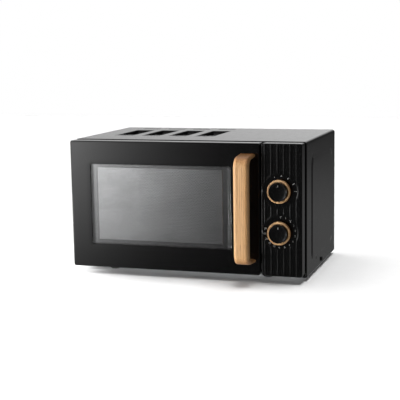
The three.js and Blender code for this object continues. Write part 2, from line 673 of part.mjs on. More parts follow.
function transformerGroup() {
  const group = new THREE.Group();
  group.position.set(395, 226, BAY.floor);
  const windows = [-29, 13].map((x) => box([x, -31, 14], [x + 16, 31, 56]));
  const core = cut(box([-43, -30, 0], [43, 30, 70]), ...windows);
  group.add(piece("transformer_core", core, finish(0x55524d, 0.5, 0.6)));
  const winding = (z0, z1) => {
    const around = prismZ(roundedRect(-28.5, -42, 28.5, 42, 9), z0, z1);
    return cut(around, box([-13.5, -30.4, z0 - 1], [13.5, 30.4, z1 + 1]));
  };
  group.add(piece("transformer_primary", winding(14.5, 32), copper()));
  group.add(piece("transformer_secondary", winding(37, 55.5), finish(0xc8c2b0, 0.6)));
  return group;
}

function capacitorGroup() {
  const group = new THREE.Group();
  group.position.set(376, 120, BAY.floor);
  const oval = new THREE.Shape();
  oval.absellipse(0, 0, 26, 17, 0, 2 * Math.PI, false, 0);
  const can = join(prismZ(oval, 0.4, 80), box([-12, -3, 79], [-10, 3, 89]), box([10, -3, 79], [12, 3, 89]));
  group.add(piece("capacitor", can, finish(0xb0b2b4, 0.35, 0.8)));
  const diode = join(rodX(-12, 12, 38, 8, 3.4, 12), rodX(-20, 20, 38, 8, 0.8, 8));
  group.add(piece("high_voltage_diode", diode, finish(0x2a2a2a, 0.5)));
  return group;
}

function fanGroup() {
  const group = new THREE.Group();
  group.position.set(FAN.x, 0, FAN.z);
  const motor = join(box([-20, 251, -20], [20, 262, 20]), box([-12, 249, -34], [12, 260, -19]));
  group.add(piece("fan_motor", motor, zinc()));
  const blades = repeat(5, (i) =>
    solidOf(
      new THREE.BoxGeometry(34, 1.6, 24)
        .rotateX(0.6)
        .translate(26, 276, 0)
        .rotateY((i * 2 * Math.PI) / 5),
    ),
  );
  const round = rodY(262, 290, 0, 0, FAN.blade, 28);
  const hub = rodY(268, 284, 0, 0, 11);
  const rotor = join(join(hub, ...blades).intersect(round), rodY(262.4, 270, 0, 0, 2.5, 12));
  group.add(piece("fan_blade", rotor, whitePlastic()));
  const half = 52;
  const shroud = cut(
    join(
      prismY(roundedRect(-half, -half, half, half, 6), 286, 287.6),
      rodY(264, 287, 0, 0, FAN.ring + 2, 28),
    ),
    rodY(262, 289, 0, 0, FAN.ring, 28),
  );
  const bar = cut(box([-half + 5, 264, -5], [half - 5, 266, 5]), rodY(262, 268, 0, 0, 4, 12));
  group.add(piece("fan_shroud", join(shroud, bar), greyPlastic()));
  return group;
}

function mainsGroup() {
  const group = new THREE.Group();
  const chokeCoil = rodY(280, 291, 366, 222, 9, 16);
  const board = join(box([350, 290.6, 206], [430, 292.2, 240]), chokeCoil);
  group.add(piece("filter_board", board, finish(0x8a6a3c, 0.6)));
  const ferrules = [390, 415].map((x) => rodX(x, x + 5, 285, 222, 3.6, 12));
  const fuse = join(rodX(392, 418, 285, 222, 3, 12), ...ferrules);
  group.add(piece("line_fuse", fuse, finish(0xd8d8d0, 0.3)));
  const bulb = [[0, 0], [5, 1], [9, 5], [10.5, 11], [9, 17], [6.5, 22], [6.5, 34], [0, 34]];
  const glass = new THREE.LatheGeometry(bulb.map(([r, h]) => new THREE.Vector2(r, h)), 20);
  const lamp = join(solidOf(glass), box([-11, 32, -11], [11, 48, 11]));
  group.add(piece("oven_lamp", lamp, finish(0xf4f0e0, 0.2), [350, 80, 200]));
  const terminals = box([BAY.left + 3, 147, 55], [BAY.left + 14, 153, 65]);
  const cutout = join(rodX(BAY.left, BAY.left + 7, 150, 60, 9, 20), terminals);
  group.add(piece("thermal_cutout", cutout, finish(0x33302c, 0.5)));
  return group;
}

// Assembly
const oven = new THREE.Group();
oven.position.set(...ORIGIN);
oven.add(caseGroup(), cavityLiner(), turntableGroup());
oven.add(hingePlate("hinge_upper", true), hingePlate("hinge_lower", false), doorGroup());
oven.add(controlPanel(), dial("power", POWER_Z), dial("timer", TIMER_Z), timerGroup(), interlockGroup());
oven.add(magnetronGroup(), transformerGroup(), capacitorGroup(), fanGroup(), mainsGroup());

const group = new THREE.Group();
group.add(oven);
export default group;
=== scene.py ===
import math
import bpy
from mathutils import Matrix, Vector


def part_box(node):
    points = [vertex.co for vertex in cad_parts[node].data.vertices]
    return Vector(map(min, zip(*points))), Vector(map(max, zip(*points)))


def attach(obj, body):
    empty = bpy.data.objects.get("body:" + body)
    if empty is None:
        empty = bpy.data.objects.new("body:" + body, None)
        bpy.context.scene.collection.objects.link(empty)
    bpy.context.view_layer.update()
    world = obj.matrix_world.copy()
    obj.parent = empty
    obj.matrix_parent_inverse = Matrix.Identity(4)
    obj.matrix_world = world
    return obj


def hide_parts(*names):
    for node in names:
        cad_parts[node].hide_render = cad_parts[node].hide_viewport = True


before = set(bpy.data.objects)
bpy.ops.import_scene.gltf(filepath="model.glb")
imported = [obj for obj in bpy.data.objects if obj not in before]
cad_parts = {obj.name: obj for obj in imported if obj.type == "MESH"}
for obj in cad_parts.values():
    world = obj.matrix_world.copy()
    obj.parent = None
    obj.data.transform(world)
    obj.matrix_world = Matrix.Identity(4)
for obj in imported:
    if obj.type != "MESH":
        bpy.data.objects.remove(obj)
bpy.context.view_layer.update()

from types import SimpleNamespace as Sizes

import bpy
from mathutils import Matrix, Vector

# Looks of a compact manual microwave oven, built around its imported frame.
#
# Lengths below are in millimetres in the oven's own frame: x runs right from the door's left edge,
# y runs back from the door's face, z runs up from the door's bottom edge. at() turns a place in that
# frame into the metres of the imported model.

MM = 0.001
DOOR_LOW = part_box("door_frame")[0]
FLOOR_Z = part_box("foot_front_left")[0].z


def at(x, y, z):
    return Vector((DOOR_LOW.x + x * MM, DOOR_LOW.y + y * MM, DOOR_LOW.z + z * MM))


def span(node):
    """Lowest and highest corner of a node, in millimetres in the oven's frame."""
    return [[(c - o) / MM for c, o in zip(corner, DOOR_LOW)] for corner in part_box(node)]


# ---------- sizes

DOOR = Sizes(width=span("door_frame")[1][0], height=span("door_frame")[1][2], depth=27.5)
DOOR.corner, DOOR.fillet, DOOR.wall = 4.0, 2.1, 2.2
WINDOW = Sizes(left=41.0, right=319.0, low=45.0, high=200.0, fillet=0.5)
HINGE = Sizes(x=10.0, y=16.0, clear=12.8, notches=((8.9, 17.0), (226.5, 234.6)))
HINGE.notch_front, HINGE.notch_side = 4.0, 6.0
SCREEN = Sizes(face=8.0, flange=26.0, bend=1.2, mesh=0.5, sheet=0.6)
BORDER = Sizes(box=(43.5, 46.8, 313.0, 198.4), sunk=0.6, side_wall=0.7, level_wall=0.6, inner_wall=1.2)
MESH_ZONE = Sizes(left=53.0, right=300.0, low=53.5, high=192.5, pitch=3.1, hole=0.8)

PANEL_LOW, PANEL_HIGH = span("control_panel")
PANEL = Sizes(left=PANEL_LOW[0], right=PANEL_HIGH[0], height=PANEL_HIGH[2], depth=28.0)
PANEL.corner, PANEL.fillet, PANEL.wall = 4.0, 1.0, 2.0
RIBS = Sizes(first=383.5, pitch=11.75, count=5, crest=1.1, half=1.8, depth=0.7, strip=440.9)
DIAL_X = 411.0
DIALS = {"power": 157.8, "timer": 81.8}
DIAL = Sizes(skirt=19.4, cap=17.2, bore=17.5, ring=21.5, ring_low=4.6, ring_high=12.4)
PAD = Sizes(radius=33.0, inside=0.6, outside=0.4, sunk=0.25)
MINUTES = (0, 1, 2, 3, 4, 5, 6, 7, 8, 9, 10, 15, 20, 25, 30)
TIMER_SCALE = Sizes(radius=28.3, size=5.2, start=88.0, sweep=282.0, back=0.18, half_depth=0.06)
POWER_SCALE = Sizes(near=26.2, far=27.6, growth=0.9, half=0.75, start=112.0, step=28.0, count=5)

CASE = Sizes(left=-2.1, right=454.1, front=30.0, back=300.0, bottom=-6.5, top=244.5)
CASE.fold, CASE.hem, CASE.flange, CASE.sheet, CASE.lip = 6.0, 1.5, 11.0, 0.8, 2.6
ROLL = Sizes(top=0.35, side=1.6, steps=4)
POCKET = Sizes(count=4, first=49.0, pitch=55.4, width=37.5, near=101.0, ramp=148.0, far=232.0)
POCKET.depth, POCKET.shallow, POCKET.side, POCKET.drop = 6.6, 2.1, 1.6, 4.0
GROOVE = Sizes(near=262.0, far=272.0, depth=1.4, wall=3.0)
FIELD = Sizes(near=73.0, far=261.0, low=19.0, high=211.0, wall=1.6, rise=1.45, corner=6.0)
DIMPLES = ((83.0, 215.5), (114.0, 14.5))
DIMPLE = Sizes(floor=1.2, rim=2.7, depth=0.9, grid=2.8)

# outer and inner: where that outline starts, its knee's y and z, its turn's z, and how far in it lies.
HANDLE = Sizes(left=336.5, right=365.5, low=24.0, high=224.5, reach=50.0, straight=32.0, seat=0.3, round=7.0)
HANDLE.outer = (0.0, 22.0, 2.0, 5.0, 0.0)
HANDLE.inner = (6.5, 14.0, 9.0, 13.0, 14.5)

CAMERA = Sizes(place=(842.19, -1785.36, 420.77), yaw=18.09, pitch=8.62, roll=-0.90)
CAMERA.lens, CAMERA.sensor, CAMERA.shift, CAMERA.far = 92.55, 36.0, (0.00075, 0.00088), 50.0
FLOOR_REACH = 4.0
# Soft light on the floor: name, the way it comes from, its spread in degrees and its strength.
FLOOR_SUNS = (("above", (0.12, 0.05, 1.0), 28.0, 2.7), ("beside", (-0.5, 0.2, 1.2), 30.0, 0.9))
LOW_LAMP = Sizes(place=(-140.0, -20.0, 36.5), radius=0.03, power=4.2)


# ---------- materials


class Nodes:
    """The shader tree of a material or a world, under construction."""

    def __init__(self, owner):
        owner.use_nodes = True
        self.tree = owner.node_tree
        self.tree.nodes.clear()

    def add(self, kind, values=None, **settings):
        node = self.tree.nodes.new("ShaderNode" + kind)
        for key, value in settings.items():
            setattr(node, key, value)
        for key, value in (values or {}).items():
            self.feed(node.inputs[key], value)
        return node

    def feed(self, socket, value):
        if isinstance(value, bpy.types.NodeSocket):
            self.tree.links.new(value, socket)
        elif socket.type == "RGBA" and len(value) == 3:
            socket.default_value = (*value, 1.0)
        else:
            socket.default_value = value

    def math(self, operation, first, second=0.0):
        return self.add("Math", {0: first, 1: second}, operation=operation).outputs[0]


class Look(Nodes):
    """A material: one Principled shader with a tree that feeds it."""

    def __init__(self, name):
        self.material = bpy.data.materials.new(name)
        super().__init__(self.material)
        self.shader = self.add("BsdfPrincipled")
        self.add("OutputMaterial", {"Surface": self.shader.outputs[0]})
        self.place = self.add("TexCoord").outputs["Object"]

    def set(self, **values):
        for key, value in values.items():
            self.feed(self.shader.inputs[key.replace("_", " ")], value)

    def stretched(self, x, y, z):
        return self.add("Mapping", {"Vector": self.place, "Scale": (x, y, z)}).outputs[0]

    def along(self, axis, fast, slow):
        """The place stretched so that a pattern runs along one axis."""
        scale = [fast, fast, fast]
        scale["xyz".index(axis)] = slow
        return self.stretched(*scale)

    def noise(self, scale, detail=3.0, roughness=0.55, vector=None, distortion=0.0):
        values = {"Vector": vector or self.place, "Scale": scale, "Detail": detail}
        values |= {"Roughness": roughness, "Distortion": distortion}
        return self.add("TexNoise", values).outputs["Fac"]

    def between(self, fac, low, high, start=0.3, end=0.7):
        values = {"Value": fac, "From Min": start, "From Max": end, "To Min": low, "To Max": high}
        return self.add("MapRange", values).outputs["Result"]

    def blend(self, fac, first, second):
        return self.add("Mix", {"Factor": fac, 6: first, 7: second}, data_type="RGBA").outputs[2]

    def mottled(self, colour, low, high, scale, detail=4.0):
        """The colour in clouds from low to high times as bright."""
        cloud = self.between(self.noise(scale, detail), 0.0, 1.0)
        return self.blend(cloud, shade(colour, low), shade(colour, high))

    def bump(self, height, strength, distance=0.0002):
        before = self.shader.inputs["Normal"].links
        values = {"Height": height, "Strength": strength, "Distance": distance}
        if before:
            values["Normal"] = before[0].from_socket
        self.set(Normal=self.add("Bump", values).outputs[0])


def shade(colour, factor):
    return tuple(min(1.0, c * factor) for c in colour)


def moulded(name, colour, roughness, spread=0.12, texture=1400.0, depth=0.12):
    """Plastic, rubber or paper: mottled colour, uneven gloss and a fine texture."""
    look = Look(name)
    worn = look.noise(160.0, 5.0, 0.7)
    look.set(Base_Color=look.mottled(colour, 1 - spread, 1 + spread, 45.0))
    look.set(Roughness=look.between(worn, roughness * 0.8, roughness * 1.25))
    look.bump(look.noise(texture, 2.0, 0.6), depth)
    return look.material


def gloss_black(name, roughness):
    """High-gloss black: a deep base, faint waviness from the mould and a few hairline rubs."""
    look = Look(name)
    rubs = look.noise(1.0, 2.0, 0.6, look.stretched(40.0, 40.0, 900.0), 0.4)
    dust = look.noise(2600.0, 1.0)
    rubbed = look.between(rubs, roughness, roughness * 1.6, 0.45, 0.8)
    gloss = look.math("ADD", rubbed, look.between(dust, 0.0, 0.02, 0.6, 0.9))
    base = look.mottled((0.0028, 0.0028, 0.003), 0.8, 1.25, 30.0, 3.0)
    look.set(Base_Color=base, Roughness=gloss, IOR=1.5)
    look.bump(look.noise(22.0, 2.0), 0.02, 0.0006)
    return look.material


def sheet_paint(name, colour, roughness):
    """Stoved paint on sheet steel: orange peel, a slow waviness of the sheet and uneven gloss."""
    look = Look(name)
    uneven = look.noise(90.0, 4.0)
    look.set(Base_Color=look.mottled(colour, 0.85, 1.2, 14.0), IOR=1.5)
    look.set(Roughness=look.between(uneven, roughness * 0.85, roughness * 1.2))
    look.bump(look.noise(520.0, 3.0, 0.5), 0.05, 0.0003)
    look.bump(look.noise(9.0, 2.0), 0.03, 0.002)
    return look.material


def brushed(name, colour, roughness, axis):
    """Rolled or brushed metal, with its fine lines along one axis."""
    look = Look(name)
    lines = look.noise(6.0, 4.0, 0.7, look.along(axis, 260.0, 5.0))
    tone = look.mottled(colour, 0.86, 1.08, 25.0)
    tone = look.blend(look.between(lines, 0.0, 0.35), tone, shade(colour, 0.7))
    look.set(Base_Color=tone, Metallic=1.0)
    look.set(Roughness=look.between(lines, roughness * 0.75, roughness * 1.3))
    look.bump(lines, 0.12)
    return look.material


def spangled(name, colour, roughness=0.32):
    """Galvanised sheet, with the flat crystals of the zinc."""
    look = Look(name)
    grain = look.add("TexVoronoi", {"Vector": look.place, "Scale": 95.0}).outputs["Color"]
    tone = look.blend(look.between(grain, 0.0, 1.0, 0.0, 1.0), shade(colour, 0.8), colour)
    look.set(Base_Color=tone, Metallic=0.9)
    look.set(Roughness=look.between(grain, roughness * 0.7, roughness * 1.3, 0.0, 1.0))
    look.bump(look.noise(700.0, 3.0), 0.05)
    return look.material


def oak(name, axis):
    """Oiled light oak: slow growth bands, dark streaks and short pores along one axis, and darker end grain,
    which also carries painted shade on the faces across the grain.
    """
    look = Look(name)
    bands = look.noise(1.0, 5.0, 0.6, look.along(axis, 160.0, 2.2), 0.6)
    streaks = look.noise(1.0, 4.0, 0.75, look.along(axis, 620.0, 6.0), 0.2)
    pores = look.noise(1.0, 2.0, 0.5, look.along(axis, 1500.0, 55.0))
    pale, mid, dark = (0.80, 0.50, 0.25), (0.60, 0.33, 0.13), (0.40, 0.18, 0.06)
    tone = look.blend(look.between(bands, 0.0, 1.0, 0.34, 0.66), pale, mid)
    tone = look.blend(look.between(streaks, 0.0, 0.8, 0.46, 0.68), tone, dark)
    tone = look.blend(look.between(pores, 0.0, 0.5, 0.60, 0.70), tone, shade(dark, 0.55))
    # Faces across the grain turn a dark, saturated brown. This is partly the darker end grain and partly
    # painted shade on the handle's top and bottom and on the ring's left and right flanks.
    normal = look.add("TexCoord").outputs["Normal"]
    facing = look.add("SeparateXYZ", {"Vector": normal}).outputs[axis.upper()]
    end_grain_and_painted_shade = look.math("ABSOLUTE", facing)
    tone = look.blend(look.between(end_grain_and_painted_shade, 0.0, 0.8, 0.25, 0.9), tone, (0.42, 0.17, 0.05))
    look.set(Base_Color=tone, Roughness=look.between(streaks, 0.42, 0.6), IOR=1.46)
    look.bump(look.between(pores, 0.0, 1.0, 0.72, 0.58), 0.35, 0.00012)
    look.bump(streaks, 0.12, 0.00015)
    return look.material


def glass(name, tint, roughness=0.02):
    """Clear or smoked sheet: faint wiping marks and a slow ripple."""
    look = Look(name)
    smear = look.noise(1.0, 5.0, 0.7, look.stretched(9.0, 9.0, 30.0), 0.8)
    look.set(Base_Color=look.blend(look.between(smear, 0.0, 1.0), tint, shade(tint, 0.93)))
    look.set(Transmission_Weight=1.0, IOR=1.5)
    look.set(Roughness=look.between(smear, roughness, roughness + 0.05, 0.5, 0.8))
    look.bump(look.noise(35.0, 2.0), 0.01, 0.0005)
    return look.material


def enamel(name, colour):
    """The easy-clean lining: fine speckle in a smooth grey coat, with faint wiped streaks."""
    look = Look(name)
    speckle = look.noise(1900.0, 1.0, 0.4)
    tone = look.mottled(colour, 0.92, 1.05, 18.0)
    tone = look.blend(look.between(speckle, 0.0, 0.5, 0.58, 0.66), tone, shade(colour, 0.5))
    look.set(Base_Color=tone, Roughness=look.between(look.noise(60.0, 4.0), 0.26, 0.42), Metallic=0.15)
    look.bump(speckle, 0.06)
    return look.material


def laminated(name):
    """Stacked core plates seen edge on, under dark varnish."""
    look = Look(name)
    plates = look.add("TexWave", {"Vector": look.place, "Scale": 320.0, "Distortion": 0.6, "Detail": 2.0})
    plates.bands_direction = "Y"
    rust = look.noise(70.0, 5.0, 0.7)
    tone = look.blend(plates.outputs["Fac"], (0.10, 0.095, 0.09), (0.19, 0.18, 0.17))
    tone = look.blend(look.between(rust, 0.0, 0.5, 0.55, 0.8), tone, (0.16, 0.08, 0.04))
    look.set(Base_Color=tone, Metallic=0.6, Roughness=look.between(rust, 0.35, 0.6))
    look.bump(plates.outputs["Fac"], 0.35, 0.0003)
    return look.material


def wound(name, light, dark, pitch, metallic):
    """A winding: turn lies over turn, stacked upwards."""
    look = Look(name)
    turns = look.add("TexWave", {"Vector": look.place, "Scale": pitch, "Distortion": 0.5, "Detail": 1.0})
    turns.bands_direction = "Z"
    tone = look.blend(look.between(turns.outputs["Fac"], 0.0, 1.0, 0.0, 0.8), dark, light)
    tone = look.blend(look.between(look.noise(120.0, 4.0), 0.0, 0.4), tone, shade(dark, 0.8))
    look.set(Base_Color=tone, Metallic=metallic, Roughness=look.between(look.noise(300.0), 0.25, 0.45))
    look.bump(turns.outputs["Fac"], 0.6, 0.0004)
    return look.material


def mica(name):
    """Pressed mica board: pale flakes with golden and silver flecks."""
    look = Look(name)
    flakes = look.add("TexVoronoi", {"Vector": look.stretched(1.0, 1.0, 1.4), "Scale": 420.0})
    patches = look.between(flakes.outputs["Color"], 0.0, 1.0, 0.0, 1.0)
    tone = look.blend(patches, (0.56, 0.50, 0.40), (0.78, 0.74, 0.66))
    tone = look.blend(look.between(look.noise(900.0, 1.0), 0.0, 0.6, 0.6, 0.7), tone, (0.30, 0.24, 0.15))
    look.set(Base_Color=tone, Roughness=look.between(flakes.outputs["Color"], 0.3, 0.7, 0.0, 1.0))
    look.bump(flakes.outputs["Distance"], 0.2)
    return look.material


def screen_metal(name, colour, roughness):
    """The door's steel screen: painted a dark silver that scatters what it mirrors."""
    look = Look(name)
    fine = look.noise(2100.0, 2.0)
    look.set(Base_Color=look.mottled(colour, 0.93, 1.07, 16.0), Metallic=1.0)
    look.set(Roughness=look.between(fine, roughness * 0.9, roughness * 1.1))
    look.bump(fine, 0.02)
    return look.material


LOOK_LIST = (
    ("door_black", gloss_black, 0.05),
    ("panel_black", gloss_black, 0.12),
    ("case_black", sheet_paint, (0.006, 0.006, 0.0063), 0.13),
    ("satin_black", moulded, (0.012, 0.012, 0.0125), 0.5),
    ("oak_handle", oak, "z"),
    ("oak_dial", oak, "x"),
    ("pane", glass, (0.90, 0.905, 0.91)),
    ("film", glass, (0.50, 0.51, 0.52), 0.05),
    ("tray", glass, (0.93, 0.97, 0.96)),
    ("mesh_metal", screen_metal, (0.57, 0.57, 0.57), 0.17),
    ("screen_rim", screen_metal, (0.24, 0.24, 0.24), 0.19),
    ("cavity", enamel, (0.40, 0.41, 0.41)),
    ("zinc", spangled, (0.52, 0.53, 0.54)),
    ("zinc_lines", brushed, (0.55, 0.56, 0.57), 0.32, "x"),
    ("aluminium", brushed, (0.68, 0.69, 0.70), 0.28, "x"),
    ("chrome", brushed, (0.72, 0.72, 0.74), 0.12, "z"),
    ("white_plastic", moulded, (0.72, 0.71, 0.66), 0.42, 0.05),
    ("grey_plastic", moulded, (0.28, 0.28, 0.27), 0.45, 0.08),
    ("switch_black", moulded, (0.03, 0.03, 0.031), 0.35),
    ("rubber", moulded, (0.018, 0.018, 0.018), 0.72, 0.2, 900.0, 0.3),
    ("mica", mica),
    ("core", laminated),
    ("copper", wound, (0.62, 0.26, 0.11), (0.22, 0.07, 0.03), 260.0, 0.9),
    ("taped", wound, (0.66, 0.60, 0.46), (0.45, 0.39, 0.27), 70.0, 0.0),
    ("board", moulded, (0.42, 0.27, 0.11), 0.5, 0.12, 600.0, 0.1),
    ("bulb", glass, (0.95, 0.93, 0.86)),
    ("ink", moulded, (0.36, 0.36, 0.35), 0.5, 0.1),
)
LOOKS = {name: make(name, *values) for name, make, *values in LOOK_LIST}

# ---------- meshes


PIECES = []


def in_scene(name, data):
    obj = bpy.data.objects.new(name, data)
    bpy.context.scene.collection.objects.link(obj)
    return obj


def piece(name, verts, faces, look, body, replaces=(), sharp=35.0):
    """A new mesh from vertices in metres, on its body, with its look and what it stands for."""
    mesh = bpy.data.meshes.new(name)
    mesh.from_pydata([tuple(v) for v in verts], [], faces)
    mesh.validate()
    obj = in_scene(name, mesh)
    mesh.materials.append(LOOKS[look])
    mesh.shade_smooth()
    mesh.set_sharp_from_angle(angle=math.radians(sharp))
    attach(obj, body)
    PIECES.append(obj)
    if replaces:
        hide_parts(*replaces)
    return obj


def even_shading(obj):
    """Lets large flat faces keep their own shading next to narrow fillets."""
    obj.modifiers.new("shading", "WEIGHTED_NORMAL").keep_sharp = True


def thicken(obj, thickness, offset=-1.0):
    solid = obj.modifiers.new("sheet", "SOLIDIFY")
    solid.thickness = thickness * MM
    solid.offset = offset


def smooth_step(value, start, end):
    t = min(1.0, max(0.0, (value - start) / (end - start)))
    return t * t * (3 - 2 * t)


def lines_between(marks, step):
    """Sorted grid lines through every mark, with even lines no further apart than step between them."""
    marks = sorted(set(round(m, 4) for m in marks))
    lines = []
    for a, b in zip(marks, marks[1:]):
        parts = max(1, math.ceil((b - a) / step))
        lines += [a + (b - a) * i / parts for i in range(parts)]
    return lines + [marks[-1]]


def fillet_lines(radius, steps=5):
    """Distances in from an edge that divide its fillet into equal angles."""
    return [radius * (1 - math.cos(math.pi / 2 * i / steps)) for i in range(steps + 1)]


def fillet_drop(distance, radius):
    """How far a filleted edge falls back, at a distance in from it."""
    short = max(0.0, radius - distance)
    return radius - math.sqrt(max(0.0, radius * radius - short * short))


def round_corner(x, z, width, height, corner):
    """Moves a grid point in a square corner onto the round one."""
    cx = min(max(x, corner), width - corner)
    cz = min(max(z, corner), height - corner)
    a, b = x - cx, z - cz
    if a == 0 or b == 0:
        return x, z
    scale = max(abs(a), abs(b)) / math.hypot(a, b)
    return cx + a * scale, cz + b * scale


def band(near, far):
    """The faces between two closed rings of vertices, all the way round."""
    count = len(near)
    return [(near[(k + 1) % count], near[k], far[k], far[(k + 1) % count]) for k in range(count)]


def grid_rim(i0, i1, j0, j1):
    """The way round an oblong part of a grid, as (column, row)."""
    rim = [(i, j0) for i in range(i0, i1)] + [(i1, j) for j in range(j0, j1)]
    return rim + [(i, j1) for i in range(i1, i0, -1)] + [(i0, j) for j in range(j1, j0, -1)]


def plate(xs, zs, left, corner, surface, keep, skirt, skirt_x):
    """Vertices and faces of a moulded front: a grid whose y is surface(x, z), kept where keep says, with
    a skirt back from its rim at the depths in skirt, moved sideways by skirt_x(x, depth)."""
    width, height = xs[-1], zs[-1]
    verts, faces = [], []
    columns = len(xs)
    for z in zs:
        for x in xs:
            px, pz = round_corner(x, z, width, height, corner)
            verts.append(at(left + px, surface(x, z), pz))
    for j in range(len(zs) - 1):
        for i in range(columns - 1):
            if keep((xs[i] + xs[i + 1]) / 2, (zs[j] + zs[j + 1]) / 2):
                a = j * columns + i
                faces.append((a, a + 1, a + columns + 1, a + columns))
    rim = grid_rim(0, columns - 1, 0, len(zs) - 1)
    ring = [j * columns + i for i, j in rim]
    for depth in skirt:
        row = []
        for i, j in rim:
            px, pz = round_corner(xs[i], zs[j], width, height, corner)
            row.append(len(verts))
            verts.append(at(left + skirt_x(px, depth), depth, pz))
        faces += band(ring, row)
        ring = row
    return verts, faces


def lathe(name, profile, centre, look, body, replaces=(), sides=96, closed=False):
    """Turns points about an axis that runs forwards from centre. Each point is its radius and its height
    on the axis, in millimetres. A profile ends on the axis or, when closed, joins its own start."""
    verts, rings = [], []
    for radius, height in profile:
        count = 1 if radius == 0 else sides
        ring = []
        for i in range(count):
            angle = 2 * math.pi * i / sides
            ring.append(len(verts))
            verts.append(centre + Vector((radius * math.cos(angle), -height, radius * math.sin(angle))) * MM)
        rings.append(ring)
    faces = []
    pairs = list(zip(rings, rings[1:]))
    if closed:
        pairs.append((rings[-1], rings[0]))
    for low, high in pairs:
        for i in range(sides):
            n = (i + 1) % sides
            corners = [low[i % len(low)], low[n % len(low)], high[n % len(high)], high[i % len(high)]]
            face = [c for k, c in enumerate(corners) if c not in corners[:k]]
            if len(face) > 2:
                faces.append(face)
    piece(name, verts, faces, look, body, replaces)


def rounded(points, radius, steps):
    """A closed outline with each of its corners turned into an arc of about that radius."""
    count = len(points)
    result = []
    for i in range(count):
        p, a, b = Vector(points[i]), Vector(points[i - 1]), Vector(points[(i + 1) % count])
        reach = min(radius, (a - p).length * 0.45, (b - p).length * 0.45)
        start = p + (a - p).normalized() * reach
        end = p + (b - p).normalized() * reach
        for k in range(steps + 1):
            t = k / steps
            result.append(tuple(start * (1 - t) ** 2 + p * 2 * t * (1 - t) + end * t * t))
    return result


# ---------- case


def in_field(y, z):
    """0 outside a side's pressed field and 1 on its raised flat, over a rounded wall."""
    near, far, low, high = FIELD.near, FIELD.far, FIELD.low, FIELD.high
    r = FIELD.corner
    dy = abs(y - (near + far) / 2) - (far - near) / 2 + r
    dz = abs(z - (low + high) / 2) - (high - low) / 2 + r
    outside = math.hypot(max(dy, 0.0), max(dz, 0.0)) + min(max(dy, dz), 0.0) - r
    return smooth_step(-outside, 0.0, FIELD.wall)


def side_bulge(y, z):
    """How far the right side stands out: its raised field, less the dimples."""
    dent = 0.0
    for dy, dz in DIMPLES:
        apart = math.hypot(y - dy, z - dz)
        dent = max(dent, 1 - smooth_step(apart, DIMPLE.floor, DIMPLE.rim))
    return FIELD.rise * in_field(y, z) - DIMPLE.depth * dent


def top_sink(x, y):
    """How far the top is pressed in: the pockets, with a gentle ramp at the near end, and the grooves."""
    across = 0.0
    for i in range(POCKET.count):
        start = POCKET.first + i * POCKET.pitch
        inside = min(x - start, start + POCKET.width - x)
        across = max(across, smooth_step(inside, 0.0, POCKET.side))
    near, ramp, far, drop = POCKET.near, POCKET.ramp, POCKET.far, POCKET.drop
    down = POCKET.shallow * min(1.0, max(0.0, (y - near) / (ramp - near)))
    down += (POCKET.depth - POCKET.shallow) * smooth_step(y, ramp, ramp + drop)
    down *= 1 - smooth_step(y, far - drop, far)
    near, far, wall = GROOVE.near, GROOVE.far, GROOVE.wall
    line = smooth_step(y, near, near + wall) * (1 - smooth_step(y, far - wall, far))
    return across * (down + GROOVE.depth * line)


def steps_at(place, width, count=4):
    return [place + width * i / count for i in range(count + 1)]


def both_walls(near, far, wall, count=4):
    """Grid lines over the walls at both ends of a pressed shape."""
    return steps_at(near, wall, count) + steps_at(far - wall, wall, count)


def case_arc(cx, cz, radius, start, end, count):
    """The points inside a fold of the case, as (kind, x, z, nx, nz)."""
    for i in range(1, count):
        angle = math.radians(start + (end - start) * i / count)
        nx, nz = math.cos(angle), math.sin(angle)
        yield "fold", cx + radius * nx, cz + radius * nz, nx, nz


def wall_lines(low, high):
    """Heights of the grid lines up a side of the case."""
    marks = [low, high] + both_walls(FIELD.low, FIELD.high, FIELD.wall)
    for _, z in DIMPLES:
        marks += steps_at(z - DIMPLE.grid, 2 * DIMPLE.grid, 6)
    return lines_between([z for z in marks if low <= z <= high], 8.0)


def roof_lines(left, right):
    """Places across the case's top of its grid lines."""
    marks = [left, right]
    for i in range(POCKET.count):
        start = POCKET.first + i * POCKET.pitch
        marks += both_walls(start, start + POCKET.width, POCKET.side)
    return lines_between(marks, 7.0)


def case_section():
    """The case from its left flange over the top to its right flange, as (kind, x, z, nx, nz)."""
    left, right, bottom, top = CASE.left, CASE.right, CASE.bottom, CASE.top
    fold, hem, flange = CASE.fold, CASE.hem, CASE.flange
    walls = wall_lines(bottom + hem, top - fold)
    rows = [("fold", left + flange, bottom, 0, -1), ("fold", left + hem, bottom, 0, -1)]
    rows += case_arc(left + hem, bottom + hem, hem, 270, 180, 4)
    rows += [("left", left, z, -1, 0) for z in walls]
    rows += case_arc(left + fold, top - fold, fold, 180, 90, 10)
    rows += [("top", x, top, 0, 1) for x in roof_lines(left + fold, right - fold)]
    rows += case_arc(right - fold, top - fold, fold, 90, 0, 10)
    rows += [("right", right, z, 1, 0) for z in reversed(walls)]
    rows += case_arc(right - hem, bottom + hem, hem, 0, -90, 4)
    rows += [("fold", right - hem, bottom, 0, -1), ("fold", right - flange, bottom, 0, -1)]
    return rows


def case_relief(kind, x, y, z):
    """How far the case stands out of its plain folded shape at a place on its top or a side."""
    if kind == "top":
        return -top_sink(x, y)
    if kind == "right":
        return side_bulge(y, z)
    return FIELD.rise * in_field(y, z) if kind == "left" else 0.0


def rolled_edge(front, lip, nx):
    """The case's front edge: a lip turned in, with a quarter round that is wider on the sides."""
    radius = ROLL.top + (ROLL.side - ROLL.top) * abs(nx)
    turns = [math.radians(90.0 * i / ROLL.steps) for i in range(ROLL.steps + 1)]
    arc = [(front + radius * (1 - math.cos(t)), -radius * (1 - math.sin(t))) for t in turns]
    return [(front, -lip)] + arc[:-1]


